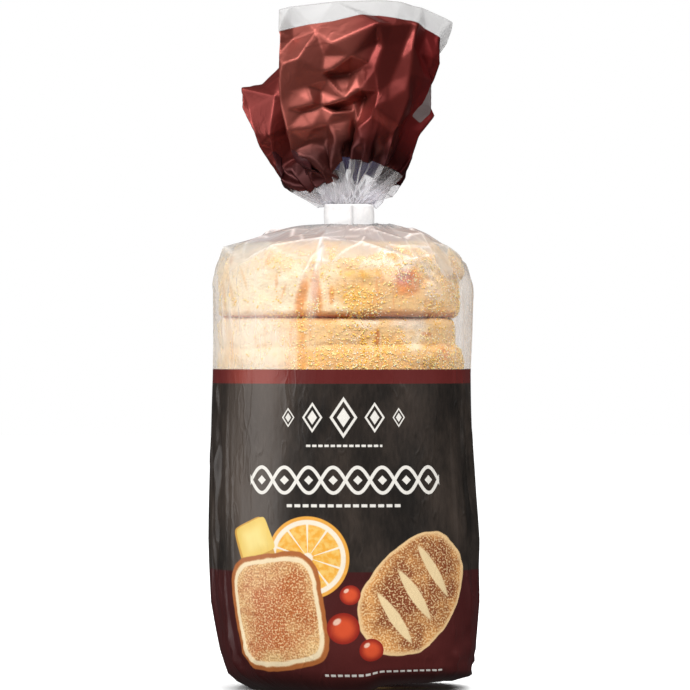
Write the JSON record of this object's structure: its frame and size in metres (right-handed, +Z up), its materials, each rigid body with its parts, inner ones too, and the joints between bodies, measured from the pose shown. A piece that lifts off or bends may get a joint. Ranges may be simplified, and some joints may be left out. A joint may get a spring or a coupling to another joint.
{
  "type": "bag of english muffins",
  "caption": "Film bag of stacked round flat breads, printed round its lower part, with its neck gathered in a band under a flared mouth.",
  "frame": {"origin": "on the base plane, under the middle of the bag", "axes": "+Z up along the stack of breads, -Y towards the printed front, +X to the right of someone who looks at the front"},
  "size_m": [0.1012, 0.0944, 0.2576],
  "materials": {
    "printed_film": "glossy printed polypropylene film, clear above the print",
    "white_band": "satin white tape",
    "bread_crust": "dry floury baked crust",
    "semolina": "dry yellow grains"
  },
  "bodies": {
    "root": {"bag": "printed_film", "neck_band": "white_band"}
  },
  "joints": []
}
